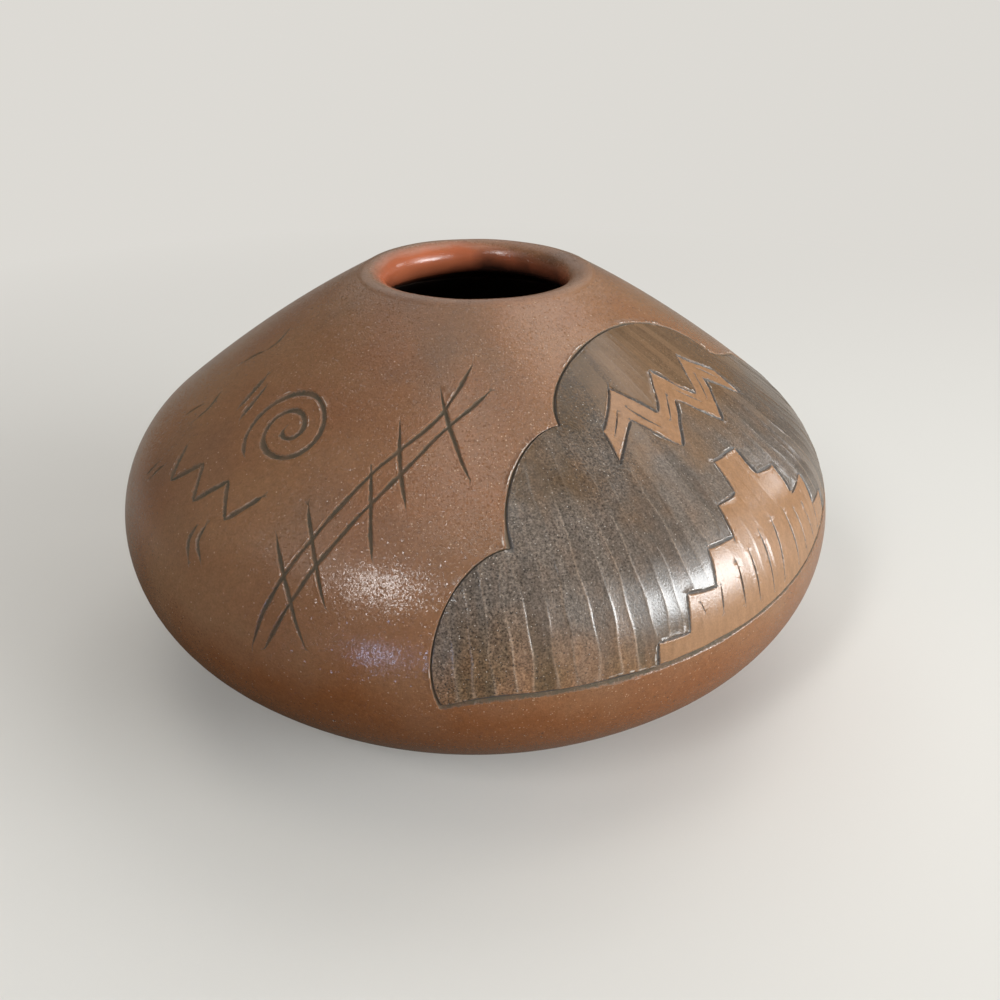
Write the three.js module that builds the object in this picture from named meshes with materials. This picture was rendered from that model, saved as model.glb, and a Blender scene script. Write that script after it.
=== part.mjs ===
// A small round seed pot: one hand-built piece of fired clay, wide and low, with a tiny mouth.
// Millimetres, +Z up. The origin is the middle of the flat base, on the surface the pot stands on.
//
// The wall is a closed turned profile. Outside, from the base up: a bowl arc, a tighter belly arc,
// a long shoulder arc that is nearly a straight cone, and a full-round lip. The inside runs back
// down on arcs set one wall thickness in. Every arc is tangent to the ones beside it.

import * as THREE from "three";

// Driving dimensions
const height = 72.5; // base to the crest of the lip
const bellyRadius = 62; // the widest circle
const bellyHeight = 32.4; // of the widest circle above the base
const baseRadius = 25; // the flat that the pot stands on
const mouthRadius = 14.8; // the narrowest circle of the opening
const wall = 5; // thickness of the clay from belly to shoulder
const floorThickness = 5; // thickness of the clay over the base
const lipRound = 3.2; // radius of the full-round lip

// Radii of the outside arcs
const bowlRound = 52; // base to belly
const bellyRound = 22; // across the widest circle
const shoulderRound = 212; // belly to lip

// How finely the curves are cut
const sides = 64; // flats around the pot
const chordError = 0.08; // how far a chord may leave its arc

// A circle is {x, y, r}: x is the distance from the pot's axis and y the height. A point is r = 0.
const belly = { x: bellyRadius - bellyRound, y: bellyHeight, r: bellyRound };
const lip = { x: mouthRadius + lipRound, y: height - lipRound, r: lipRound };
const baseEdge = { x: baseRadius, y: 0, r: 0 };

const innerBelly = { ...belly, r: bellyRound - wall };
const floorEdge = { x: baseRadius, y: floorThickness, r: 0 };

// The large circle of radius r that touches two small ones. Each small circle lies inside it,
// or outside it where its gap is taken as r + its own radius. Of the two answers, the one whose
// centre lies nearer the pot's axis is kept.
function circleTouching(first, second, r, secondIsOutside = false) {
  const toFirst = r - first.r;
  const toSecond = secondIsOutside ? r + second.r : r - second.r;
  const dx = second.x - first.x;
  const dy = second.y - first.y;
  const apart = Math.hypot(dx, dy);
  const along = (apart ** 2 + toFirst ** 2 - toSecond ** 2) / (2 * apart);
  const across = Math.sqrt(toFirst ** 2 - along ** 2);
  const centres = [1, -1].map((side) => ({
    x: first.x + (dx * along - side * dy * across) / apart,
    y: first.y + (dy * along + side * dx * across) / apart,
    r,
  }));
  return centres[0].x < centres[1].x ? centres[0] : centres[1];
}

const bowl = circleTouching(belly, baseEdge, bowlRound);
const shoulder = circleTouching(belly, lip, shoulderRound);
const innerBowl = circleTouching(innerBelly, floorEdge, bowlRound - wall);
const innerShoulder = circleTouching(innerBelly, lip, shoulderRound - wall, true);

// The direction from one circle's centre to another's, as an angle above the horizontal
const direction = (from, to) => Math.atan2(to.y - from.y, to.x - from.x);

// Points along a circle from one angle to another, as many as the chord error asks for
function arc(circle, start, end) {
  const step = 2 * Math.acos(1 - chordError / circle.r);
  const count = Math.max(2, Math.ceil(Math.abs(end - start) / step));
  return Array.from({ length: count + 1 }, (_, i) => {
    const angle = start + ((end - start) * i) / count;
    return new THREE.Vector2(
      circle.x + circle.r * Math.cos(angle),
      circle.y + circle.r * Math.sin(angle),
    );
  });
}

// Where each arc hands over to the next, as angles on its own circle
const bowlToBelly = direction(bowl, belly);
const bellyToShoulder = direction(shoulder, belly);
const shoulderToLip = direction(shoulder, lip);
const lipToInside = direction(lip, innerShoulder) + 2 * Math.PI;
const insideToLip = direction(innerShoulder, lip);
const insideToBelly = direction(innerShoulder, innerBelly);
const bellyToInnerBowl = direction(innerBowl, innerBelly);

// The belly arc stops at the widest circle, so that the pot measures its full width there.
const outside = [
  new THREE.Vector2(0, 0),
  ...arc(bowl, direction(bowl, baseEdge), bowlToBelly),
  ...arc(belly, bowlToBelly, 0),
  ...arc(belly, 0, bellyToShoulder),
  ...arc(shoulder, bellyToShoulder, shoulderToLip),
];
const lipEdge = [
  ...arc(lip, shoulderToLip, Math.PI / 2),
  ...arc(lip, Math.PI / 2, Math.PI),
  ...arc(lip, Math.PI, lipToInside),
];
const inside = [
  ...arc(innerShoulder, insideToLip, insideToBelly),
  ...arc(innerBelly, insideToBelly, bellyToInnerBowl),
  ...arc(innerBowl, bellyToInnerBowl, direction(innerBowl, floorEdge)),
  new THREE.Vector2(0, floorThickness),
];

// Neighbouring arcs share their end points, and one of each pair is left out.
const tooClose = 0.01;
const profile = [...outside, ...lipEdge, ...inside].filter(
  (point, i, all) => i === 0 || point.distanceTo(all[i - 1]) > tooClose,
);

const clay = new THREE.MeshStandardMaterial({
  color: new THREE.Color().setStyle("rgb(134, 92, 68)"),
  roughness: 0.5,
  metalness: 0,
});

// LatheGeometry turns about Y, and a quarter turn about X stands the pot up on Z.
const turned = new THREE.LatheGeometry(profile, sides).rotateX(Math.PI / 2);
const potBody = new THREE.Mesh(turned, clay);
potBody.name = "pot_body";

const seedPot = new THREE.Group();
seedPot.add(potBody);

export default seedPot;
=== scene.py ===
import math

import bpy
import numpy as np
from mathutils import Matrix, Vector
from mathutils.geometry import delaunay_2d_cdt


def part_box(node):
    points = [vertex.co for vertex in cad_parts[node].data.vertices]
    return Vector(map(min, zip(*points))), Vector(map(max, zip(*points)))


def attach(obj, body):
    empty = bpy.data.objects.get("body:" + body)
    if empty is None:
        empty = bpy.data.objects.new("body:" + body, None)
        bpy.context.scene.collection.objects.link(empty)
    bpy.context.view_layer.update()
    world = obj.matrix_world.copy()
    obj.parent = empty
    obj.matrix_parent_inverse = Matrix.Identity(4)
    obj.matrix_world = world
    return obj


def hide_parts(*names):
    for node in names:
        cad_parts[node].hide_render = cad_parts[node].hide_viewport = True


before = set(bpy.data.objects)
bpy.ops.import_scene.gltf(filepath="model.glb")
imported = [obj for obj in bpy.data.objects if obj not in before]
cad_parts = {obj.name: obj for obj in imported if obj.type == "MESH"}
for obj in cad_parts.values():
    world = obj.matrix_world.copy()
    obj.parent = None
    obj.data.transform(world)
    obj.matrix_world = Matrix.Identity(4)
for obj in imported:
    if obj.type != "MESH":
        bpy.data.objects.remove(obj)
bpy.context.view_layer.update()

# A small round seed pot of burnished, mica-flecked clay, with cut line ornament, a dark slip panel in
# the shape of a stepped cloud, and red slip inside the lip.
#
# Lengths are in millimetres until a mesh is made. A place on the pot's wall is (around, down):
# around is in degrees from the front, -Y, positive towards +X. down is the distance along the clay
# from the crest of the lip, in mm, positive over the outside and negative over the inside.

MM = 0.001

# Sizes of the pot, as in the frame
pot_low, pot_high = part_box("pot_body")
height = (pot_high.z - pot_low.z) / MM
belly_radius = (pot_high.x - pot_low.x) / MM / 2
belly_height = 32.4
base_radius = 25
mouth_radius = 14.8
wall_thickness = 5
floor_thickness = 5
lip_round = 3.2
bowl_round = 52
belly_round = 22
shoulder_round = 212

# The skin lies this far inside the turned form, which leaves room for burrs and for the hand's waves.
skin_depth = 0.25
wave_height = 0.13


# The turned profile

def circle_touching(first, second, radius, second_is_outside=False):
    """The large circle (x, y, radius) that touches two small ones, with its centre nearer the axis."""
    to_first = radius - first[2]
    to_second = radius + second[2] if second_is_outside else radius - second[2]
    dx = second[0] - first[0]
    dy = second[1] - first[1]
    apart = math.hypot(dx, dy)
    along = (apart**2 + to_first**2 - to_second**2) / (2 * apart)
    across = math.sqrt(to_first**2 - along**2)
    centres = [
        (first[0] + (dx * along - side * dy * across) / apart,
         first[1] + (dy * along + side * dx * across) / apart)
        for side in (1, -1)
    ]
    return (*min(centres), radius)


def direction(start, end):
    return math.atan2(end[1] - start[1], end[0] - start[0])


belly = (belly_radius - belly_round, belly_height, belly_round)
inner_belly = (belly[0], belly[1], belly_round - wall_thickness)
lip = (mouth_radius + lip_round, height - lip_round, lip_round)
base_edge = (base_radius, 0, 0)
floor_edge = (base_radius, floor_thickness, 0)
bowl = circle_touching(belly, base_edge, bowl_round)
shoulder = circle_touching(belly, lip, shoulder_round)
inner_bowl = circle_touching(inner_belly, floor_edge, bowl_round - wall_thickness)
inner_shoulder = circle_touching(inner_belly, lip, shoulder_round - wall_thickness, True)

# Each arc of the wall from the base edge over the lip to the floor edge: its circle, its first and
# last angle, and 1 where the clay is inside the circle or -1 where it is outside.
crest = math.pi / 2
arcs = [
    (bowl, direction(bowl, base_edge), direction(bowl, belly), 1),
    (belly, direction(bowl, belly), direction(shoulder, belly), 1),
    (shoulder, direction(shoulder, belly), direction(shoulder, lip), 1),
    (lip, direction(shoulder, lip), crest, 1),
    (lip, crest, direction(lip, inner_shoulder) + 2 * math.pi, 1),
    (inner_shoulder, direction(inner_shoulder, lip), direction(inner_shoulder, inner_belly), -1),
    (inner_belly, direction(inner_shoulder, inner_belly), direction(inner_bowl, inner_belly), -1),
    (inner_bowl, direction(inner_bowl, inner_belly), direction(inner_bowl, floor_edge), -1),
]
arc_columns = np.array([(*circle, start, end, side) for circle, start, end, side in arcs])
arc_lengths = [circle[2] * abs(end - start) for circle, start, end, side in arcs]
arc_starts = np.concatenate([[0], np.cumsum(arc_lengths)])
to_crest = arc_starts[4]  # base edge to the crest of the lip
to_throat = arc_lengths[4]  # crest of the lip to the end of its round inside
to_floor = arc_starts[-1] - to_crest  # crest of the lip to the floor edge


def wall(down):
    """Radius and height of the wall, and the two parts of its outward normal, at places down it."""
    place = np.clip(to_crest - np.asarray(down, float), 0, arc_starts[-1])
    index = np.clip(np.searchsorted(arc_starts, place, side="right") - 1, 0, len(arcs) - 1)
    x, y, radius, start, end, side = arc_columns[index].T
    angle = start + np.sign(end - start) * (place - arc_starts[index]) / radius
    normal_x = np.cos(angle)
    normal_y = np.sin(angle)
    return x + radius * normal_x, y + radius * normal_y, side * normal_x, side * normal_y


def degree_mm(down):
    """How many mm one degree around the pot takes up."""
    return math.radians(1) * wall(down)[0]


def waves(around, down):
    """The slow unevenness that a coiled and scraped wall keeps, from -1 to 1."""
    turn = np.radians(around)
    slow = np.sin(2 * turn + 0.6) * np.cos(down / 31) + 0.7 * np.sin(3 * turn + down / 17 + 2.1)
    quick = 0.35 * np.sin(7 * turn + down / 9) * np.sin(down / 13 + 1)
    return (slow + quick + 0.25 * np.sin(11 * turn - down / 7)) / 2.3


def surface(around, down, lift=0.0):
    """Points in mm on the wall, raised by lift mm from its skin."""
    radius, level, normal_r, normal_z = wall(down)
    fade = np.clip((to_crest - np.asarray(down, float)) / 12, 0, 1)
    raised = lift - fade * (skin_depth - wave_height * waves(around, down))
    reach = radius + normal_r * raised
    turn = np.radians(around)
    return np.stack([reach * np.sin(turn), -reach * np.cos(turn), level + normal_z * raised], -1)


# The outside wall is laid out flat as a ring, without distortion of angles, so that it can be cut into
# triangles. Its inner edge is the lip and its outer edge the base.
chart_step = 0.25
chart_down = np.arange(0, to_crest + chart_step, chart_step)
chart_grow = chart_step / wall(chart_down)[0]
chart_reach = np.exp(np.cumsum(chart_grow) - chart_grow[0])


def flat(around, down):
    reach = np.interp(down, chart_down, chart_reach)
    turn = np.radians(around)
    return np.stack([reach * np.sin(turn), -reach * np.cos(turn)], -1)


# Lines on the wall

def smooth_line(points, step=0.35):
    """A smooth line through a few (around, down) points, as points about step mm apart."""
    points = np.array(points, float)
    legs = np.hypot(np.diff(points[:, 0]) * degree_mm(points[:, 1].mean()), np.diff(points[:, 1]))
    knots = np.concatenate([[0], np.cumsum(legs)])
    slopes = np.gradient(points, knots, axis=0)
    places = np.linspace(0, knots[-1], max(3, math.ceil(knots[-1] / step) + 1))
    leg = np.clip(np.searchsorted(knots, places, side="right") - 1, 0, len(legs) - 1)
    t = ((places - knots[leg]) / legs[leg])[:, None]
    size = legs[leg][:, None]
    return (
        (2 * t**3 - 3 * t**2 + 1) * points[leg]
        + (t**3 - 2 * t**2 + t) * size * slopes[leg]
        + (3 * t**2 - 2 * t**3) * points[leg + 1]
        + (t**3 - t**2) * size * slopes[leg + 1]
    )


def straight_lines(corners):
    """The sides between a row of corners, each as a line of its own."""
    return [smooth_line(side) for side in zip(corners, corners[1:])]


def oval(centre, half_width, half_height, first, last, step=0.35):
    """Part of an oval on the wall, between two angles in degrees, 0 to the right and 90 up the wall."""
    around, down = centre
    reach = max(half_width * degree_mm(down), half_height)
    count = max(6, math.ceil(abs(math.radians(last - first)) * reach / step))
    angle = np.radians(np.linspace(first, last, count + 1))
    return np.stack([around + half_width * np.cos(angle), down - half_height * np.sin(angle)], -1)


def spiral(centre, inner, outer, turns, first, step=0.35):
    """A spiral around a place on the wall, from a radius inner to a radius outer in mm."""
    around, down = centre
    count = math.ceil(math.pi * turns * (inner + outer) / step)
    share = np.linspace(0, 1, count + 1)
    angle = math.radians(first) + 2 * math.pi * turns * share
    radius = inner + (outer - inner) * share
    return np.stack([around + radius * np.cos(angle) / degree_mm(down), down - radius * np.sin(angle)], -1)


def wobble(count, size, seed, slow=11):
    """A smooth irregular run of numbers, about -size to size, that changes every few steps."""
    place = np.arange(count) / slow
    turns = np.random.default_rng(seed).uniform(0, 2 * math.pi, 4)
    rates = (1, 1.73, 2.91, 4.7)
    return size * sum(np.sin(place * rate + turn) / (1 + rate) for rate, turn in zip(rates, turns)) * 1.2


class Cut:
    """A line cut into the clay: a groove with a thin, crumbling burr along parts of its sides."""

    count = 0

    def __init__(self, line, half_width=0.27, depth=0.3, burr=0.05, taper=3.0, shake=0.08, rubble=0.01,
                 left_share=None):
        Cut.count += 1
        if left_share is None:
            left_share = Cut.count * 0.618 % 1
        line = np.array(line, float)
        self.degree_mm = degree_mm(line[:, 1])
        legs = np.hypot(np.diff(line[:, 0]) * self.degree_mm[1:], np.diff(line[:, 1]))
        place = np.concatenate([[0], np.cumsum(legs)])
        self.across = np.stack([np.gradient(line[:, 1]), -np.gradient(line[:, 0]) * self.degree_mm], -1)
        self.across /= np.linalg.norm(self.across, axis=1)[:, None]
        self.line = self.beside(line, wobble(len(line), shake, Cut.count))
        from_end = np.minimum(place, place[-1] - place)
        pressed = np.sqrt(np.clip(from_end / taper, 0, 1)) if taper else np.ones(len(line))
        uneven = 1 + wobble(len(line), 0.22, 100 + Cut.count, 7)
        self.half_width = half_width * np.clip(pressed * uneven, 0.3, 2)
        self.depth = depth * np.clip(pressed, 0.15, 1)
        fading = np.clip(from_end / taper - 0.3, 0, 1) if taper else 1
        burr = burr * fading * np.clip(0.45 + wobble(len(line), 1.0, 200 + Cut.count, 12), 0, 1.4)
        self.burrs = (burr * min(1, 2 - 2 * left_share), burr * min(1, 2 * left_share))
        self.rubble = rubble
        self.points = surface(*self.line.T)
        self.left = surface(*self.beside(self.line, np.ones(len(line))).T) - self.points

    def beside(self, line, distance):
        """The line moved sideways by a distance in mm at each of its points."""
        shift = np.asarray(distance)[:, None] * self.across
        return line + np.stack([shift[:, 0] / self.degree_mm, shift[:, 1]], -1)

    def rows(self, shares=(0, 0.5, 1, 1.45, 2.0), beyond=(1.25,)):
        """Places along the line and beside it, at shares of its half width and at distances in mm."""
        offsets = [self.half_width * share for share in shares]
        offsets += [np.full(len(self.line), distance) for distance in beyond]
        return np.concatenate([
            self.beside(self.line, side * offset) for offset in offsets for side in (-1, 1)
        ])

    def nearest(self, points, reach):
        """Which points lie within reach mm of the line, how far, by which step of it, and if on its left."""
        low = self.points.min(0) - reach
        high = self.points.max(0) + reach
        near = np.flatnonzero(((points > low) & (points < high)).all(1))
        start = self.points[:-1]
        leg = np.diff(self.points, axis=0)
        size = (leg**2).sum(1)
        apart = np.full(len(near), np.inf)
        step = np.zeros(len(near), int)
        on_left = np.zeros(len(near), bool)
        for first in range(0, len(near), 4000):
            some = slice(first, first + 4000)
            offset = points[near[some], None] - start[None]
            t = np.clip((offset * leg).sum(2) / size, 0, 1)
            aside = offset - t[..., None] * leg
            gap = np.linalg.norm(aside, axis=2)
            best = gap.argmin(1)
            rows = np.arange(len(best))
            apart[some] = gap[rows, best]
            step[some] = best + (t[rows, best] > 0.5)
            on_left[some] = (aside[rows, best] * self.left[best]).sum(1) > 0
        kept = apart < reach
        return near[kept], apart[kept], step[kept], on_left[kept]


def carve(points, cuts):
    """For each point the lift in mm that the cuts give it, how dark the cut is there, and its burr."""
    lift = np.zeros(len(points))
    burr = np.zeros(len(points))
    grit = np.zeros(len(points))
    dark = np.zeros(len(points))
    crumbling = np.random.default_rng(31).uniform(0.2, 1.6, len(points))
    for cut in cuts:
        near, apart, step, on_left = cut.nearest(points, 1.6)
        share = apart / cut.half_width[step]
        groove = np.where(share < 1, np.cos(np.clip(share, 0, 1) * math.pi / 2) ** 1.2, 0)
        lift[near] = np.minimum(lift[near], -cut.depth[step] * groove)
        dark[near] = np.maximum(dark[near], np.clip(1.3 - share, 0, 1))
        beside = np.where(on_left, cut.burrs[1][step], cut.burrs[0][step])
        crumb = beside * crumbling[near] * np.exp(-(((share - 1.35) / 0.3) ** 2))
        burr[near] = np.maximum(burr[near], crumb)
        loose = cut.rubble * np.clip(2 * crumbling[near] - 2, 0, 1) * (share < 1)
        grit[near] = np.maximum(grit[near], loose)
    burr = np.maximum(burr * np.clip(1 - dark * 1.5, 0, 1), grit)
    return lift + burr, dark, burr


# The stepped cloud: round lobes climb its left side and go down its right, over a bottom edge that
# rises a little. Its outline is pressed harder in some places than in others: each line has the half
# width of its cut at its start and at its end, and the height of its burr.
cloud_middle = 48.5
climb = [
    (smooth_line([(-4.8, 64.1), (-5.6, 61.2), (-5.9, 58.0)]), 0.34, 0.16, 0.1),
    (oval((5.5, 58.0), 11.4, 16.4, 180, 96.5), 0.15, 0.14, 0.06),
    (oval((17.5, 38.5), 13.3, 14.4, 192.4, 91.7), 0.44, 0.10, 0.14),
    (oval((cloud_middle, 23.0), 31.4, 12.8, 184.9, -8), 0.27, 0.2, 0.1),
]
fall = [
    (smooth_line([(79.6, 24.8), (83, 27.2), (88, 29.4), (95, 33), (100, 39), (102, 45)]), 0.2, 0.3, 0.1),
    (smooth_line([(102, 45), (106.5, 46), (110.5, 50), (111.5, 54.8)]), 0.2, 0.3, 0.1),
]
cloud_bottom = smooth_line([
    (-4.8, 64.1), (-0.5, 62.9), (10, 62.1), (25, 61.4), (40, 60.2), (55, 58.4), (70, 56.0), (85, 54.8),
    (111.5, 54.8),
])
cloud_outline = np.concatenate([line[:-1] for line, *_ in climb + fall] + [cloud_bottom[::-1][:-1]])
edge_cuts = [
    Cut(line, end + (start - end) * np.linspace(1, 0, len(line)) ** 2, 0.3, rim, taper=0, shake=0, left_share=0.8)
    for line, start, end, rim in climb + fall
]
bottom_width = np.interp(cloud_bottom[:, 0], (20, 45), (0.5, 0.24))
edge_cuts.append(Cut(cloud_bottom, bottom_width, 0.34, 0.05, taper=0, shake=0, rubble=0.04, left_share=0.7))


# Figures inside the cloud, scraped back to the orange clay and outlined with cuts: a mountain of steps
# that stands on the cloud's bottom edge, and a zigzag bolt above it.
figure_random = np.random.default_rng(5)
step_width = 5.4
step_height = 5.3
mountain_steps = 4
mountain_top = 36.5
bolt_leg = 7.5
bolt_legs = 6
bolt_top = 22.5
bolt_drop = 6.5
bolt_half_height = 3.0


def by_hand(corners, slip=0.35):
    """Corners that miss their places by up to slip degrees and mm, as a hand's do."""
    return np.array(corners) + figure_random.uniform(-slip, slip, (len(corners), 2))


steps = [(cloud_middle - step_width * 0.7, mountain_top)]
for _ in range(mountain_steps):
    around, down = steps[-1]
    steps += [(around, down + step_height), (around - step_width, down + step_height)]
steps.append((steps[-1][0], 66.0))
mountain = by_hand(steps[::-1] + [(2 * cloud_middle - around, down) for around, down in steps])

bolt_line = [
    (cloud_middle + bolt_leg * (i - bolt_legs / 2), bolt_top + bolt_drop * ((i + 1) % 2))
    for i in range(bolt_legs + 1)
]
bolt_upper = [(around, down - bolt_half_height) for around, down in bolt_line]
bolt_lower = [(around, down + bolt_half_height) for around, down in bolt_line]
bolt = by_hand(bolt_upper + bolt_lower[::-1])
figure_outlines = [mountain, bolt]

hatching = [
    [(cloud_middle + offset, 58.2 - abs(offset) * 0.12), (cloud_middle + offset, 47.0 + abs(offset) * 0.36)]
    for offset in (-18, -14.4, -10.8, -7.2, -3.6, 0, 3.6, 7.2, 10.8, 14.4)
]
bolt_hearts = [
    [(a[0] + (b[0] - a[0]) * share, a[1] + (b[1] - a[1]) * share) for share in (0.2, 0.8)]
    for a, b in zip(bolt_line, bolt_line[1:])
]
figure_cuts = [
    Cut(line, 0.27, 0.3, 0.1, taper=0.5, shake=0.2, rubble=0.05)
    for line in straight_lines(mountain) + straight_lines(np.concatenate([bolt, bolt[:1]]))
    if line[:, 1].min() < 60
]
figure_cuts += [
    Cut(smooth_line(by_hand(line, 0.6)), 0.18, 0.2, 0.03, taper=2.5) for line in hatching + bolt_hearts
]


# Cuts in the plain wall

def ladder(turn):
    """Two long bowed rails that meet low down, with five slanting strokes across them."""
    rails = [
        [(-1.4, 13.0), (-7.5, 20.9), (-18.8, 32.0), (-24.7, 43.0), (-28.6, 53.7), (-30.3, 59.8)],
        [(2.9, 17.5), (-5.6, 23.2), (-17.5, 36.6), (-24.7, 51.1), (-28.3, 59.5)],
    ]
    strokes = [
        [(-8.9, 17.6), (-5.2, 24.8), (-1.4, 31.8)],
        [(-16.6, 23.5), (-14.6, 28.8), (-11.5, 36.0)],
        [(-19.3, 30.7), (-17.0, 37.2), (-14.9, 43.8)],
        [(-27.4, 38.3), (-23.5, 44.6), (-20.0, 51.4)],
        [(-30.2, 43.7), (-26.0, 50.0), (-22.2, 57.8)],
    ]
    return [Cut(smooth_line(np.array(line) + (turn, 0)), 0.33) for line in rails + strokes]


def ticks(turn):
    """Short strokes that float in pairs."""
    strokes = [
        [(-45.1, 47.0), (-45.4, 49.4), (-44.2, 51.9)],
        [(-43.4, 46.2), (-43.4, 48.9), (-41.6, 51.2)],
        [(-64.8, 44.4), (-65.4, 46.0), (-65.9, 47.7)],
        [(-62.5, 43.9), (-63.3, 45.4), (-63.6, 47.0)],
        [(-68.3, 30.3), (-66.6, 33.2), (-66.9, 36.5)],
        [(-69.7, 33.8), (-71.2, 35.6), (-72.0, 37.7)],
        [(-73.6, 15.6), (-70.4, 18.1), (-70.2, 20.4)],
        [(-70.8, 20.9), (-72.8, 22.6), (-74.0, 24.9)],
    ]
    return [Cut(smooth_line(np.array(line) + (turn, 0)), 0.40, 0.26, 0.03, taper=1.6) for line in strokes]


def wind(turn):
    """A spiral over a row of zigzag teeth, with two dashes beside it."""
    curl = spiral((-40 + turn, 28.5), 0.8, 7.6, 2.1, 200)
    teeth = [(-61.5 + 4.2 * i + turn, 39.2 + 5.2 * (i % 2)) for i in range(7)]
    dashes = [[(-59 + 3.4 * i + turn, 23 + 1.2 * i), (-57.5 + 3.4 * i + turn, 29.5 + 1.2 * i)] for i in range(2)]
    lines = [curl, *straight_lines(teeth), *[smooth_line(dash) for dash in dashes]]
    return [Cut(line, 0.46, 0.32, 0.05, taper=1.0) for line in lines]


front_turn = 0
back_turn = 196
wall_cuts = [cut for turn in (front_turn, back_turn) for cut in ladder(turn) + ticks(turn) + wind(turn)]


# The dark slip was scraped from top to bottom in narrow flat strips, each a little tilted, with fine
# ridges left standing between them.
ridge_count = 46
strip_random = np.random.default_rng(12)
ridge_places = -5.6 + np.cumsum(strip_random.uniform(2.2, 3.2, ridge_count)) - 2.8
ridge_lean = strip_random.uniform(-0.3, 0.3, ridge_count)
strip_shade = strip_random.uniform(-1, 1, ridge_count + 1)
strip_tilt = strip_random.uniform(-0.15, 0.15, ridge_count + 1)
strip_turn = strip_random.uniform(0, 2 * math.pi, ridge_count + 1)


belly_down = to_crest - arc_starts[1]


def ridge_around(number, down):
    """Where a ridge stands: ridges lean a little and close up as the shoulder narrows."""
    narrowing = belly_radius / wall(down)[0] - 1
    lean = 0.09 * (62 - down) + 3.2 * narrowing
    shiver = 0.16 * np.sin(down / 3.1 + number * 1.9) + 0.1 * np.sin(down / 1.3 + number * 4.1)
    return ridge_places[number] - lean + ridge_lean[number] * (62 - down) / 20 + shiver


def strips(around, down):
    """At places in the slip: the lift of its strip in mm, the ridge between strips, the shade of the
    strip, and how far across the strips the place lies, in mm at the belly."""
    lines = np.stack([ridge_around(number, down) for number in range(ridge_count)], 1)
    strip = (lines < around[:, None]).sum(1)
    after = np.clip(strip, 1, ridge_count - 1)
    rows = np.arange(len(around))
    left = lines[rows, after - 1]
    right = lines[rows, after]
    share = np.clip((around - left) / (right - left), 0, 1)
    nearer = np.where(share < 0.5, after - 1, after)
    gap = np.abs(around - lines[rows, nearer]) * degree_mm(down)
    marked = np.clip((down - 20) / 26, 0.2, 1)
    low_down = np.clip((down - 46) / 8, 0, 1)
    fading = 0.6 + 0.3 * low_down + 0.5 * np.sin(down / 5.3 + nearer * 2.3) + 0.3 * np.sin(down / 1.9 + nearer)
    foot = np.clip((down - 57) / 5, 0, 1)
    standing = np.clip((down - 37 + 8 * ridge_lean[nearer] / 0.3) / 15, 0.05, 1)
    ridge = np.exp(-((gap / (0.13 + 0.12 * foot)) ** 2)) * np.clip(fading + 0.5 * foot, 0.05, 1) * standing
    chatter = 0.035 * np.sin(down / 1.6 + strip_turn[strip]) * np.sin(down / 4.3 + 2 * strip_turn[strip])
    hollow = strip_tilt[strip] * (share - 0.5) - 0.035 * (1 - (2 * share - 1) ** 2) + chatter - 0.02
    across = (strip + share) * 2.7 * degree_mm(belly_down)
    return hollow * marked, ridge, strip_shade[strip], across


# Meshes

def inside_outline(chart, outline):
    """Whether each point of the flat chart lies inside a closed outline."""
    within = np.zeros(len(chart), bool)
    x, y = chart.T
    for (x0, y0), (x1, y1) in zip(outline, np.roll(outline, -1, axis=0)):
        if y0 != y1:
            crosses = (y0 > y) != (y1 > y)
            within ^= crosses & (x < (x1 - x0) * (y - y0) / (y1 - y0) + x0)
    return within


def thinned(places, gap, kept_first=0):
    """The places without those that share a small cube of space with an earlier one."""
    cubes = np.floor(surface(*places.T) / gap).astype(int)
    _, first = np.unique(cubes, axis=0, return_index=True)
    first.sort()
    return places[first[first >= kept_first]]


def scattered(spacing, top, bottom):
    """Places spread evenly over the wall in staggered rings."""
    rings = []
    for i, down in enumerate(np.linspace(top, bottom, round((bottom - top) / spacing) + 1)[1:-1]):
        count = round(2 * math.pi * wall(down)[0] / spacing)
        around = (np.arange(count) + i % 2 / 2) * 360 / count - 180
        rings.append(np.stack([around, np.full(count, down)], -1))
    return np.concatenate(rings)


def gap_to(places, cuts, reach):
    """How far each place lies from the nearest of the cuts, in mm, up to reach."""
    points = surface(*places.T)
    gap = np.full(len(points), float(reach))
    for cut in cuts:
        near, apart, _, _ = cut.nearest(points, reach)
        gap[near] = np.minimum(gap[near], apart)
    return gap


def triangulate(fixed, loops, loose):
    """Triangles over places on the wall. The loops are rows of the fixed places that stay edges."""
    places = np.concatenate([fixed, loose])
    edges = [(a, b) for loop in loops for a, b in zip(loop, loop[1:] + loop[:1])]
    corners, _, faces, origin, _, _ = delaunay_2d_cdt(
        [Vector(point) for point in flat(*places.T).tolist()], edges, [], 0, 1e-6, True
    )
    chart = np.array([tuple(corner) for corner in corners])
    around = np.degrees(np.arctan2(chart[:, 0], -chart[:, 1]))
    down = np.interp(np.hypot(*chart.T), chart_reach, chart_down)
    index = {}
    for new, olds in enumerate(origin):
        if olds:
            around[new], down[new] = places[olds[0]]
        for old in olds:
            index[old] = new
    return np.stack([around, down], -1), np.array(faces), chart, index


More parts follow.
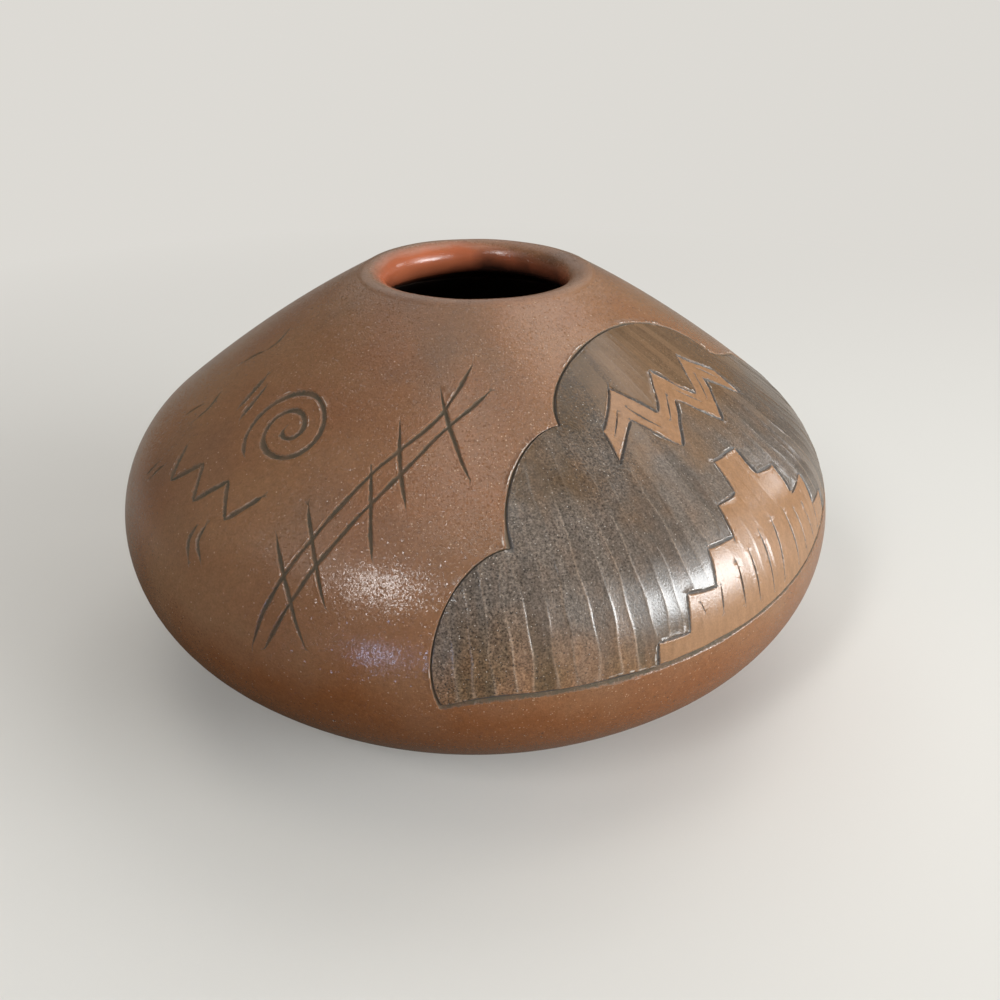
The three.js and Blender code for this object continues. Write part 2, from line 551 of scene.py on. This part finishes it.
class Mesh:
    """A mesh put together from rings and patches of points, with named values at its points."""

    def __init__(self, *labels):
        self.points = []
        self.faces = []
        self.values = {label: [] for label in labels}
        self.count = 0

    def add(self, points, **values):
        """Adds points and returns their numbers. Values that are left out are 0."""
        self.points.append(points)
        for label, column in self.values.items():
            column.append(np.broadcast_to(values.get(label, 0.0), len(points)))
        self.count += len(points)
        return list(range(self.count - len(points), self.count))

    def band(self, first, second):
        """Faces between two rings, where a ring may be one point. They face out if the second is higher."""
        n = max(len(first), len(second))
        for i in range(n):
            corners = [first[i % len(first)], first[(i + 1) % len(first)]]
            corners += [second[(i + 1) % len(second)], second[i % len(second)]]
            self.faces.append(tuple(dict.fromkeys(corners)))

    def bands(self, rings):
        for first, second in zip(rings, rings[1:]):
            self.band(first, second)

    def piece(self, name, material, slot):
        """The finished object, which stands in for the pot's plain body and goes where it goes."""
        mesh = bpy.data.meshes.new(name)
        mesh.from_pydata((np.concatenate(self.points) * MM).tolist(), [], self.faces)
        mesh.shade_smooth()
        for label, columns in self.values.items():
            numbers = np.concatenate(columns).astype(np.float32)
            mesh.attributes.new(label, "FLOAT", "POINT").data.foreach_set("value", numbers)
        mesh.materials.append(material)
        piece = bpy.data.objects.new(name, mesh)
        bpy.context.scene.collection.objects.link(piece)
        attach(piece, "root")
        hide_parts("pot_body")
        print(name, len(mesh.vertices), "points", len(mesh.polygons), "faces")
        return piece


sides = 288
ring_turns = np.arange(sides) * 360 / sides - 180
collar = 3.0  # where the triangles of the wall meet the rings of the lip
foot = to_crest - 0.6  # where they meet the rings of the base
under_slip = 0.55  # how far the clay lies back under the dark slip
under_skin = 0.3  # how far it lies back under the skins of the inside and the base
throat_end = -14  # how far down the inside the red slip reaches


def wall_ring(down, lift=0.0):
    return surface(ring_turns, np.full(sides, float(down)), lift)


def disc_ring(radius, level):
    turn = np.radians(ring_turns)
    return np.stack([radius * np.sin(turn), -radius * np.cos(turn), np.full(sides, float(level))], -1)


def clay_body(material):
    """The pot as one closed mesh, sunk where other pieces make the surface."""
    mesh = Mesh("cut", "burr")
    cuts = wall_cuts + edge_cuts
    rings = [np.stack([ring_turns, np.full(sides, down)], -1) for down in (collar, foot)]
    fixed = np.concatenate(rings + [cloud_outline])
    loops = [list(range(sides)), list(range(sides, 2 * sides)), list(range(2 * sides, len(fixed)))]
    rows = np.concatenate([cut.rows() for cut in cuts])
    rows = rows[(rows[:, 1] > collar + 0.4) & (rows[:, 1] < foot - 0.4)]
    spread = scattered(1.2, collar, foot)
    spread = spread[gap_to(spread, cuts, 1.1) == 1.1]
    loose = thinned(np.concatenate([cloud_outline, rows, spread]), 0.09, len(cloud_outline))
    places, faces, chart, index = triangulate(fixed, loops, loose)
    edge_rings = [[index[i] for i in loop] for loop in loops[:2]]
    in_mouth = np.isin(faces, edge_rings[0]).all(1)
    points = surface(*places.T)
    lift, dark, burr = carve(points, cuts)
    edge_gap = gap_to(places, edge_cuts, 2)
    covered = inside_outline(chart, flat(*cloud_outline.T)) & (edge_gap > 0.02)
    lift = np.where(covered, -under_slip * np.clip(edge_gap / 0.3, 0.62, 1), lift)
    mesh.add(surface(*places.T, lift), cut=dark, burr=burr)
    mesh.faces += [tuple(face) for face in faces[~in_mouth].tolist()]

    lip_rings = [mesh.add(wall_ring(down)) for down in np.arange(collar - 0.4, throat_end, -0.4)]
    inside = [mesh.add(wall_ring(down, -under_skin)) for down in np.linspace(throat_end - 1, -to_floor, 14)]
    floor_level = floor_thickness - under_skin - skin_depth
    floor_rings = [mesh.add(disc_ring(base_radius * share, floor_level)) for share in (0.9, 0.5)]
    hub = mesh.add(np.array([[0, 0, floor_level]]))
    mesh.bands([edge_rings[0], *lip_rings, *inside, *floor_rings, hub])

    base_rings = [mesh.add(wall_ring(to_crest)), mesh.add(disc_ring(base_radius - 0.6, 0))]
    base_rings += [mesh.add(disc_ring(radius, under_skin)) for radius in (base_radius - 0.7, 12)]
    hub = mesh.add(np.array([[0, 0, under_skin]]))
    mesh.bands([hub, *base_rings[::-1], edge_rings[1]])
    return mesh.piece("clay_body", material, "fired_clay")


def cloud_slip(material):
    """The layer of dark slip as a thin closed mesh with its lower side in the clay."""
    mesh = Mesh("cut", "burr", "ridge", "shade", "bare", "across")
    outline = flat(*cloud_outline.T)
    loop = list(range(len(cloud_outline)))
    cuts = edge_cuts + figure_cuts
    down = np.arange(9.5, 65, 0.6)
    ridge_rows = [
        np.stack([ridge_around(number, down) + offset / degree_mm(down), down], -1)
        for number in range(ridge_count)
        for offset in (0, -0.14, 0.14, -0.3, 0.3, -0.7, 0.7)
    ]
    combed = np.concatenate(ridge_rows)
    combed = combed[gap_to(combed, cuts, 0.7) == 0.7]
    rows = np.concatenate([cut.rows() for cut in cuts])
    loose = thinned(np.concatenate([cloud_outline, rows, combed]), 0.1, len(cloud_outline))
    loose = loose[inside_outline(flat(*loose.T), outline) & (gap_to(loose, edge_cuts, 1) > 0.07)]
    places, faces, chart, index = triangulate(cloud_outline, [loop], loose)
    faces = faces[inside_outline(chart[faces].mean(1), outline)]
    lift, dark, burr = carve(surface(*places.T), cuts)
    hollow, ridge, shade, across = strips(*places.T)
    bare = np.zeros(len(chart))
    for figure in figure_outlines:
        bare[inside_outline(chart, flat(*figure.T))] = 1
    plain = np.clip(1 - dark * 1.5, 0, 1)
    ridge *= plain * (1 - bare * 0.8)
    lift += hollow * plain * (1 - bare * 0.5) + 0.035 * ridge - 0.1 * bare
    top_ring = [index[i] for i in loop]
    lift[top_ring] = -0.4
    mesh.add(
        surface(*places.T, lift), cut=dark, burr=burr, ridge=ridge, shade=shade, bare=bare, across=across
    )
    mesh.faces += [tuple(face) for face in faces.tolist()]

    below = scattered(3.2, 9, 66)
    below = below[inside_outline(flat(*below.T), outline) & (gap_to(below, edge_cuts, 1.6) == 1.6)]
    places, faces, chart, index = triangulate(cloud_outline, [loop], below)
    faces = faces[inside_outline(chart[faces].mean(1), outline)]
    numbers = mesh.add(surface(*places.T, -0.95))
    mesh.faces += [tuple(numbers[corner] for corner in face[::-1]) for face in faces.tolist()]
    under_ring = [numbers[index[i]] for i in loop]
    clockwise = sum(a[0] * b[1] - b[0] * a[1] for a, b in zip(outline, np.roll(outline, -1, axis=0))) < 0
    mesh.band(*((top_ring, under_ring) if clockwise else (under_ring, top_ring)))
    return mesh.piece("cloud_slip", material, "dark_slip")


def lip_slip(material):
    """The red slip as a thin closed ring from the outside of the lip down its throat."""
    mesh = Mesh("outside", "inside")
    start = 2.4
    downs = np.arange(start, throat_end - 0.01, -0.35)
    # Painted shade in the throat: the red darkens below this depth, deep on the lit left side, near the lip
    # elsewhere.
    painted_shade_from = 1.5 + 11 * np.clip(np.cos(np.radians(ring_turns + 95)), 0, 1)
    worn_over = 2.6 * np.clip(1.2 * np.cos(np.radians(ring_turns - 105)), 0, 1)
    rings = []
    for down in downs:
        edge = min(1, (start - down) / 0.9, (down - throat_end) / 0.9)
        rings.append(mesh.add(
            wall_ring(down, 0.045 * edge - 0.03 * (1 - edge)),
            outside=np.clip((down + 3.4 + worn_over) / 3.6, 0, 1),
            inside=np.clip((-down - painted_shade_from) / 6, 0, 1),
        ))
    rings += [mesh.add(wall_ring(down, -0.3)) for down in downs[::-2]]
    mesh.bands([*rings, rings[0]])
    return mesh.piece("lip_slip", material, "red_slip")


def bare_skins(material):
    """The unpolished skins of the inside and the base, two thin closed bodies."""
    mesh = Mesh()
    downs = [*np.linspace(throat_end + 0.8, -to_floor, 34)]
    inner = [mesh.add(wall_ring(down, -0.02)) for down in downs]
    level = floor_thickness - skin_depth - 0.02
    inner += [mesh.add(disc_ring(base_radius * share, level)) for share in (0.8, 0.5, 0.2)]
    hub = mesh.add(np.array([[0, 0, level]]))
    under_hub = mesh.add(np.array([[0, 0, level - 0.8]]))
    under = [mesh.add(disc_ring(base_radius * 0.8, level - 0.8))]
    under += [mesh.add(wall_ring(down, -0.8)) for down in downs[::-3]]
    mesh.bands([*inner, hub])
    mesh.bands([under_hub, *under, inner[0]])
    top = mesh.add(np.array([[0, 0, 0.6]]))
    bottom = mesh.add(np.array([[0, 0, 0.0]]))
    rings = [mesh.add(disc_ring(radius, z)) for radius, z in ((12, 0), (base_radius - 0.8, 0))]
    rings.append(mesh.add(disc_ring(base_radius - 0.8, 0.6)))
    mesh.bands([bottom, *rings, top])
    return mesh.piece("bare_skins", material, "bare_clay")


# Materials

class Shader:
    """A procedural material on the shape itself. Each method adds a node and returns its output."""

    def __init__(self, name):
        self.material = bpy.data.materials.new(name)
        self.material.use_nodes = True
        self.tree = self.material.node_tree
        self.principled = self.tree.nodes["Principled BSDF"]
        scaled = self.tree.nodes.new("ShaderNodeVectorMath")
        scaled.operation = "SCALE"
        self.put(scaled.inputs[0], self.tree.nodes.new("ShaderNodeTexCoord").outputs["Object"])
        self.put(scaled.inputs["Scale"], 1 / MM)
        self.place = scaled.outputs[0]

    def put(self, socket, value):
        if isinstance(value, bpy.types.NodeSocket):
            self.tree.links.new(value, socket)
        else:
            socket.default_value = value

    def value(self, label):
        """A named value of the mesh's points."""
        node = self.tree.nodes.new("ShaderNodeAttribute")
        node.attribute_name = label
        return node.outputs["Fac"]

    def part(self, axis):
        """How far in mm the place lies along an axis."""
        node = self.tree.nodes.new("ShaderNodeSeparateXYZ")
        self.put(node.inputs[0], self.place)
        return node.outputs[axis]

    def shifted(self, stretch, shift):
        """The place in mm, stretched and moved to another part of the pattern."""
        return self.vector("MULTIPLY_ADD", self.place, stretch, (shift * 31.7, shift * 17.3, shift * 23.1))

    def noise(self, size, detail=2.0, stretch=(1, 1, 1), shift=0.0, place=None):
        """Soft noise from 0 to 1 with features about size mm across, over the place in mm or another."""
        node = self.tree.nodes.new("ShaderNodeTexNoise")
        self.put(node.inputs["Vector"], place or self.shifted(stretch, shift))
        self.put(node.inputs["Scale"], 1 / size)
        self.put(node.inputs["Detail"], detail)
        return node.outputs["Fac"]

    def flecks(self, spacing, radius, amount, shift=0.0):
        """Small round flecks, one in each cell of a share of the cells spacing mm wide."""
        node = self.tree.nodes.new("ShaderNodeTexVoronoi")
        self.put(node.inputs["Vector"], self.shifted((1, 1, 1), shift))
        self.put(node.inputs["Scale"], 1 / spacing)
        pick = self.tree.nodes.new("ShaderNodeSeparateColor")
        self.put(pick.inputs[0], node.outputs["Color"])
        size = self.span(pick.outputs[0], 0, 1, 0.4 * radius / spacing, radius / spacing)
        near = self.span(self.math("DIVIDE", node.outputs["Distance"], size), 1.25, 0.75)
        return self.math("MULTIPLY", near, self.span(pick.outputs[1], amount + 0.02, amount - 0.02))

    def facets(self, size, tilt, shift=0.0, few=False):
        """The relief in mm of flat grains about size mm across, each tilted its own way by up to tilt.

        Where few is set, only about one grain in seven leans."""
        node = self.tree.nodes.new("ShaderNodeTexVoronoi")
        place = self.shifted((1, 1, 1), shift)
        self.put(node.inputs["Vector"], place)
        self.put(node.inputs["Scale"], 1 / size)
        offset = self.vector("SUBTRACT", place, node.outputs["Position"])
        lean = self.vector("MULTIPLY_ADD", node.outputs["Color"], (2, 2, 2), (-1, -1, -1))
        if few:
            tilt = self.math("MULTIPLY", self.math("GREATER_THAN", self.vector("DOT_PRODUCT", lean, lean), 1.6), tilt)
        return self.math("MULTIPLY", self.vector("DOT_PRODUCT", offset, lean), tilt)

    def vector(self, operation, *values):
        node = self.tree.nodes.new("ShaderNodeVectorMath")
        node.operation = operation
        for socket, value in zip(node.inputs, values):
            self.put(socket, value)
        return node.outputs["Value" if operation in ("DOT_PRODUCT", "DISTANCE") else "Vector"]

    def math(self, operation, first, second=0.0, clamp=False):
        node = self.tree.nodes.new("ShaderNodeMath")
        node.operation = operation
        node.use_clamp = clamp
        self.put(node.inputs[0], first)
        self.put(node.inputs[1], second)
        return node.outputs[0]

    def span(self, value, low, high, out_low=0.0, out_high=1.0):
        """A value carried from the range low to high into another range, and kept within it."""
        node = self.tree.nodes.new("ShaderNodeMapRange")
        self.put(node.inputs["Value"], value)
        self.put(node.inputs["From Min"], low)
        self.put(node.inputs["From Max"], high)
        self.put(node.inputs["To Min"], out_low)
        self.put(node.inputs["To Max"], out_high)
        return node.outputs[0]

    def mix(self, share, first, second, blend="MIX"):
        """Two colours mixed. A colour is a socket or three numbers."""
        node = self.tree.nodes.new("ShaderNodeMix")
        node.data_type = "RGBA"
        node.blend_type = blend
        self.put(node.inputs[0], share)
        for socket, colour in ((node.inputs[6], first), (node.inputs[7], second)):
            self.put(socket, (*colour, 1) if isinstance(colour, tuple) else colour)
        return node.outputs[2]

    def brightened(self, colour, amount):
        """A colour times a number."""
        node = self.tree.nodes.new("ShaderNodeVectorMath")
        node.operation = "SCALE"
        self.put(node.inputs[0], colour)
        self.put(node.inputs["Scale"], amount)
        return node.outputs[0]

    def finish(self, colour, roughness, relief, specular=0.5):
        """Sets the surface from a colour, a roughness and a relief in mm."""
        bump = self.tree.nodes.new("ShaderNodeBump")
        self.put(bump.inputs["Height"], relief)
        self.put(bump.inputs["Distance"], MM)
        self.put(bump.inputs["Strength"], 1.0)
        self.put(self.principled.inputs["Normal"], bump.outputs["Normal"])
        self.put(self.principled.inputs["Base Color"], colour)
        self.put(self.principled.inputs["Roughness"], roughness)
        self.put(self.principled.inputs["Specular IOR Level"], specular)
        return self.material


def burnished(shader):
    """The colour, roughness and relief of the burnished clay."""
    red_brown = (0.220, 0.098, 0.046)
    ochre_brown = (0.252, 0.132, 0.065)
    smoke = (0.155, 0.090, 0.056)
    low_orange = (0.205, 0.068, 0.019)
    colour = shader.mix(shader.span(shader.noise(24, 3), 0.36, 0.64), red_brown, ochre_brown)
    strokes = shader.noise(5.5, 3, stretch=(0.25, 0.25, 1.6))
    colour = shader.mix(shader.span(strokes, 0.3, 0.75, 0, 0.45), colour, red_brown)
    low = shader.math("ADD", shader.part("Z"), shader.span(shader.noise(15, 2, shift=3), 0.2, 0.8, -6, 6))
    colour = shader.mix(shader.span(low, 37, 26, 0, 0.9), colour, low_orange)
    smoky = shader.math("MULTIPLY", shader.span(shader.noise(20, 3, shift=7), 0.5, 0.72), shader.span(low, 34, 62))
    colour = shader.mix(shader.math("MULTIPLY", smoky, 0.8), colour, smoke)
    grain = shader.noise(0.34, 3)
    sand = shader.noise(1.0, 2, shift=5)
    colour = shader.brightened(colour, shader.span(grain, 0.25, 0.75, 0.86, 1.14))
    colour = shader.brightened(colour, shader.span(sand, 0.25, 0.75, 0.92, 1.08))
    dark = shader.flecks(1.0, 0.14, 0.3, shift=2)
    colour = shader.mix(shader.math("MULTIPLY", dark, 0.25), colour, (0.08, 0.045, 0.028))
    mica = shader.flecks(0.8, 0.13, 0.5)
    colour = shader.mix(shader.math("MULTIPLY", mica, 0.4), colour, (0.60, 0.44, 0.31))
    # Painted glints: pale mica flecks crowd round a spot on the front above the belly, where the lamps' sparkle
    # falls.
    from_painted_glints = shader.vector("DISTANCE", shader.place, (10, -42, 44))
    painted_glints = shader.math("MULTIPLY", shader.flecks(0.5, 0.11, 0.6, shift=13), shader.span(from_painted_glints, 38, 14))
    colour = shader.mix(shader.math("MULTIPLY", painted_glints, 0.6), colour, (0.62, 0.43, 0.28))
    roughness = shader.span(grain, 0.2, 0.8, 0.16, 0.22)
    relief = shader.math("ADD", shader.math("MULTIPLY", grain, 0.036), shader.math("MULTIPLY", strokes, 0.06))
    relief = shader.math("ADD", relief, shader.facets(0.22, 0.06))
    relief = shader.math("ADD", relief, shader.facets(0.26, 0.18, shift=6, few=True))
    return colour, roughness, relief


def clay_material():
    shader = Shader("burnished_clay")
    colour, roughness, relief = burnished(shader)
    ragged = shader.math("ADD", shader.value("cut"), shader.span(shader.noise(0.4, 2, shift=9), 0.2, 0.8, -0.3, 0.3))
    cut = shader.span(ragged, 0.25, 0.7)
    filled = shader.span(shader.noise(1.6, 2, shift=11), 0.35, 0.65, 0.7, 0.95)
    colour = shader.mix(shader.math("MULTIPLY", cut, filled), colour, (0.070, 0.056, 0.033))
    # Pale crumbs of dry clay along the burrs, made paler still as a painted glint on the raised edges.
    crumb = shader.span(shader.value("burr"), 0.03, 0.1)
    colour = shader.mix(shader.math("MULTIPLY", crumb, 0.9), colour, (0.60, 0.53, 0.46))
    roughness = shader.math("ADD", roughness, shader.math("MULTIPLY", cut, 0.6))
    return shader.finish(colour, roughness, relief)


def slip_material():
    shader = Shader("dark_slip")
    grey = (0.121, 0.096, 0.077)
    green_brown = (0.124, 0.077, 0.041)
    red_brown = (0.212, 0.109, 0.054)
    upper = (0.150, 0.090, 0.050)
    upper_edge = (0.073, 0.041, 0.016)
    pale = (0.34, 0.245, 0.175)
    orange = (0.275, 0.148, 0.075)
    patches = shader.noise(7, 3, stretch=(1, 1, 0.5))
    low = shader.math("ADD", shader.part("Z"), shader.span(patches, 0.2, 0.8, -6, 6))
    mixed = shader.math("ADD", shader.span(shader.value("shade"), -1, 1), shader.span(patches, 0.3, 0.7, -0.5, 0.5))
    brown = shader.mix(shader.span(mixed, 0.2, 0.8), green_brown, red_brown)
    colour = shader.mix(shader.span(low, 43, 32), grey, brown)
    tan = shader.math("ADD", shader.part("X"), shader.span(patches, 0.2, 0.8, -5, 5))
    top = shader.mix(shader.span(tan, 13, 24), upper_edge, upper)
    colour = shader.mix(shader.span(low, 52, 60), colour, top)
    worn = shader.span(low, 40, 26, 0.12, 0.75)
    thin = shader.span(shader.noise(2.6, 3, stretch=(1, 1, 0.4), shift=4), 0.52, 0.72)
    colour = shader.mix(shader.math("MULTIPLY", thin, worn), colour, red_brown)
    colour = shader.brightened(colour, shader.span(shader.value("shade"), -1, 1, 0.84, 1.16))
    along = shader.tree.nodes.new("ShaderNodeCombineXYZ")
    shader.put(along.inputs["X"], shader.value("across"))
    shader.put(along.inputs["Z"], shader.math("MULTIPLY", shader.part("Z"), 0.12))
    scrape = shader.noise(0.5, 3, place=along.outputs[0])
    scrape = shader.math("MULTIPLY", shader.span(scrape, 0.25, 0.75, -1, 1), shader.span(low, 54, 40, 0.08, 0.15))
    scrape = shader.math("MULTIPLY", scrape, shader.span(tan, 10, 26, 1, 1.6))
    colour = shader.brightened(colour, shader.math("ADD", scrape, 1))
    band = shader.noise(1.9, 2, place=along.outputs[0])
    band = shader.math("MULTIPLY", shader.span(band, 0.45, 0.7), worn)
    colour = shader.mix(band, colour, red_brown)
    colour = shader.mix(shader.math("MULTIPLY", shader.value("ridge"), 0.45), colour, pale)
    streaks = shader.noise(0.9, 3, stretch=(1, 1, 0.25), shift=6)
    scraped = shader.brightened(orange, shader.span(streaks, 0.25, 0.75, 0.86, 1.1))
    bare = shader.span(shader.value("bare"), 0.35, 0.65)
    grain = shader.noise(0.3, 3)
    uneven = shader.math("ADD", low, shader.math("MULTIPLY", shader.value("shade"), 5))
    sharp = shader.math("MULTIPLY", shader.span(uneven, 64, 54, 0.15, 1), shader.span(tan, 14, 26, 1, 0.5))
    rubbed = shader.math("MULTIPLY", shader.span(tan, 1, 7), shader.span(low, 50, 42))
    sharp = shader.math("MULTIPLY", sharp, shader.span(rubbed, 0, 1, 1, 0.6))
    contrast = shader.math("MULTIPLY", shader.span(grain, 0.25, 0.75, -1, 1), shader.span(sharp, 0, 1, 0.06, 0.75))
    colour = shader.brightened(colour, shader.math("ADD", contrast, 1))
    mottle = shader.span(shader.noise(0.8, 3, stretch=(1, 1, 0.7), shift=12), 0.25, 0.75, -1, 1)
    mottle = shader.math("MULTIPLY", mottle, shader.span(sharp, 0, 1, 0.04, 0.32))
    colour = shader.brightened(colour, shader.math("ADD", mottle, 1))
    dark = shader.math("MULTIPLY", shader.flecks(0.5, 0.14, 0.6, shift=2), shader.span(sharp, 0, 1, 0.08, 1.0))
    colour = shader.mix(dark, colour, (0.045, 0.036, 0.030))
    mica = shader.math("MULTIPLY", shader.flecks(0.5, 0.09, 0.6), shader.span(sharp, 0, 1, 0.06, 0.85))
    colour = shader.mix(mica, colour, (0.48, 0.42, 0.36))
    scraped = shader.brightened(scraped, shader.span(grain, 0.25, 0.75, 0.88, 1.12))
    colour = shader.mix(bare, colour, scraped)
    torn = shader.span(shader.noise(0.4, 2, shift=9), 0.2, 0.8, -0.25, 0.25)
    cut = shader.span(shader.math("ADD", shader.value("cut"), torn), 0.25, 0.7)
    colour = shader.mix(shader.math("MULTIPLY", cut, 0.85), colour, (0.062, 0.058, 0.054))
    # Pale crumbs of dry clay along the burrs, made paler still as a painted glint on the raised edges.
    crumb = shader.span(shader.value("burr"), 0.03, 0.1)
    colour = shader.mix(shader.math("MULTIPLY", crumb, 0.8), colour, (0.60, 0.55, 0.50))
    roughness = shader.span(grain, 0.2, 0.8, 0.17, 0.23)
    roughness = shader.math("ADD", roughness, shader.math("MULTIPLY", bare, 0.04))
    roughness = shader.math("ADD", roughness, shader.math("MULTIPLY", cut, 0.5))
    relief = shader.math("MULTIPLY", grain, shader.span(sharp, 0, 1, 0.014, 0.05))
    return shader.finish(colour, roughness, relief)


def lip_material():
    shader = Shader("red_slip")
    clay_colour, roughness, relief = burnished(shader)
    red = shader.brightened((0.40, 0.112, 0.050), shader.span(shader.noise(6, 3, shift=8), 0.3, 0.7, 0.88, 1.1))
    patchy = shader.span(shader.noise(4, 3, shift=1), 0.3, 0.7, -0.12, 0.12)
    outside = shader.span(shader.math("ADD", shader.value("outside"), patchy), 0.1, 0.9)
    colour = shader.mix(outside, red, clay_colour)
    # Painted shade: down the throat the red slip turns near black, where shadow falls inside the mouth.
    inside = shader.span(shader.math("ADD", shader.value("inside"), patchy), 0.1, 0.9)
    colour = shader.mix(inside, colour, (0.05, 0.022, 0.015))
    roughness = shader.math("ADD", roughness, shader.math("MULTIPLY", outside, 0.1))
    relief = shader.math("MULTIPLY", relief, shader.span(outside, 0, 1, 0.3, 1))
    return shader.finish(colour, roughness, relief)


def bare_material():
    shader = Shader("bare_clay")
    # Painted shade: above the base the skins line the inside of the pot and are near black, where shadow falls; the
    # base stays brown.
    painted_inside_shade = shader.mix(shader.span(shader.noise(7, 3), 0.35, 0.65), (0.075, 0.05, 0.038), (0.05, 0.034, 0.027))
    brown = shader.mix(shader.span(shader.noise(4, 3), 0.35, 0.65), (0.21, 0.125, 0.078), (0.15, 0.085, 0.052))
    colour = shader.mix(shader.span(shader.part("Z"), 1.5, 3.5), brown, painted_inside_shade)
    grain = shader.noise(0.6, 4)
    colour = shader.brightened(colour, shader.span(grain, 0.25, 0.75, 0.8, 1.2))
    return shader.finish(colour, 0.85, shader.math("MULTIPLY", grain, 0.06), specular=0.3)


clay_body(clay_material())
cloud_slip(slip_material())
lip_slip(lip_material())
bare_skins(bare_material())


# Floor, lights and camera

backdrop_colour = (0.72, 0.70, 0.66)


def stage_floor():
    """A wide pale floor that curves up into a pale backdrop."""
    half_width = 1.6
    front = -1.2
    back = 0.75
    bend = 0.5
    profile = [(front, 0.0)]
    profile += [
        (back + bend * math.sin(math.radians(angle)), bend * (1 - math.cos(math.radians(angle))))
        for angle in range(0, 91, 6)
    ]
    profile.append((back + bend, 1.6))
    points = [(side * half_width, y, z) for y, z in profile for side in (-1, 1)]
    faces = [(2 * i, 2 * i + 1, 2 * i + 3, 2 * i + 2) for i in range(len(profile) - 1)]
    mesh = bpy.data.meshes.new("floor")
    mesh.from_pydata(points, [], faces)
    mesh.shade_smooth()
    floor = bpy.data.objects.new("floor", mesh)
    bpy.context.scene.collection.objects.link(floor)
    shader = Shader("floor")
    seen = shader.tree.nodes.new("ShaderNodeLightPath").outputs["Is Camera Ray"]
    # Painted shadow and light in the floor colour that lights the pot and shows in its reflections: dark to its left,
    # where its shadow falls, lighter to its right and behind. The camera sees the pale backdrop colour.
    colour = shader.mix(shader.span(shader.part("X"), -40, 100), (0.13, 0.10, 0.07), (0.38, 0.36, 0.33))
    colour = shader.mix(shader.span(shader.part("Y"), 0, 60), colour, (0.42, 0.39, 0.35))
    colour = shader.mix(seen, colour, backdrop_colour)
    shader.put(shader.principled.inputs["Base Color"], colour)
    shader.put(shader.principled.inputs["Roughness"], 0.95)
    shader.put(shader.principled.inputs["Specular IOR Level"], 0.1)
    reach = shader.tree.nodes.new("ShaderNodeVectorMath")
    reach.operation = "LENGTH"
    shader.put(reach.inputs[0], shader.place)
    glow = shader.tree.nodes.new("ShaderNodeEmission")
    shader.put(glow.inputs["Color"], (*backdrop_colour, 1))
    both = shader.tree.nodes.new("ShaderNodeMixShader")
    shader.put(both.inputs[0], shader.math("MULTIPLY", seen, shader.span(reach.outputs["Value"], 90, 330)))
    shader.put(both.inputs[1], shader.principled.outputs[0])
    shader.put(both.inputs[2], glow.outputs[0])
    shader.put(shader.tree.nodes["Material Output"].inputs["Surface"], both.outputs[0])
    mesh.materials.append(shader.material)


def lamp(name, around, up, distance, width, height, power, colour=(1, 1, 1), spread=180):
    """A soft lamp that faces the pot, placed by its direction from it."""
    light = bpy.data.lights.new(name, "AREA")
    light.shape = "RECTANGLE"
    light.size = width
    light.size_y = height
    light.energy = power
    light.color = colour
    light.spread = math.radians(spread)
    holder = bpy.data.objects.new(name, light)
    turn = math.radians(around)
    rise = math.radians(up)
    offset = Vector((math.sin(turn) * math.cos(rise), -math.cos(turn) * math.cos(rise), math.sin(rise)))
    holder.location = Vector((0, 0, belly_height * MM)) + offset * distance
    holder.rotation_euler = offset.to_track_quat("Z", "Y").to_euler()
    holder.visible_camera = False
    bpy.context.scene.collection.objects.link(holder)


stage_floor()
lamp("window_right", 67, 10, 0.8, 0.46, 0.26, 6.8, (0.94, 0.98, 1.0))
lamp("window_wide", 66, 12, 0.8, 0.9, 0.6, 4.4, (0.94, 0.98, 1.0))
lamp("window_left", -32, 39, 0.9, 0.11, 0.30, 2.6)
lamp("window_low", -24, -6, 0.25, 0.022, 0.014, 0.0062, (0.45, 0.62, 1.0), spread=60)
lamp("window_far_right", 115, 17, 0.8, 0.12, 0.12, 0.4)
lamp("sky_behind", 180, 50, 0.9, 1.0, 1.0, 2.6)
lamp("sky_left", -60, 45, 0.9, 0.5, 0.5, 0.65)
lamp("sky_right", 120, 60, 0.9, 0.5, 0.5, 1.2)
lamp("ceiling", -20, 80, 1.0, 0.4, 0.4, 1.15, (1.0, 0.96, 0.88))


def surroundings():
    """A dim even light from all around, behind which the camera sees a pale backdrop."""
    world = bpy.data.worlds.new("world")
    world.use_nodes = True
    tree = world.node_tree
    dim = tree.nodes["Background"]
    dim.inputs["Color"].default_value = (0.9, 0.9, 0.88, 1)
    dim.inputs["Strength"].default_value = 0.065
    pale = tree.nodes.new("ShaderNodeBackground")
    pale.inputs["Color"].default_value = (*backdrop_colour, 1)
    both = tree.nodes.new("ShaderNodeMixShader")
    tree.links.new(tree.nodes.new("ShaderNodeLightPath").outputs["Is Camera Ray"], both.inputs[0])
    tree.links.new(dim.outputs[0], both.inputs[1])
    tree.links.new(pale.outputs[0], both.inputs[2])
    tree.links.new(both.outputs[0], tree.nodes["World Output"].inputs["Surface"])
    bpy.context.scene.world = world


surroundings()

camera_data = bpy.data.cameras.new("camera")
camera_data.lens = 36
camera_data.sensor_width = 36
camera_data.clip_start = 0.01
camera = bpy.data.objects.new("camera", camera_data)
camera_distance = 185.4  # from the middle of the belly
camera_rise = math.radians(27.75)
camera_pitch = math.radians(28.91)
camera_yaw = math.radians(1.43)
camera_roll = math.radians(0.32)
camera.location = (
    0,
    -camera_distance * math.cos(camera_rise) * MM,
    (belly_height + camera_distance * math.sin(camera_rise)) * MM,
)
camera.rotation_euler = (
    Matrix.Rotation(-camera_yaw, 3, "Z")
    @ Matrix.Rotation(math.pi / 2 - camera_pitch, 3, "X")
    @ Matrix.Rotation(camera_roll, 3, "Z")
).to_euler()
bpy.context.scene.collection.objects.link(camera)
bpy.context.scene.camera = camera
bpy.context.scene.view_settings.view_transform = "Standard"
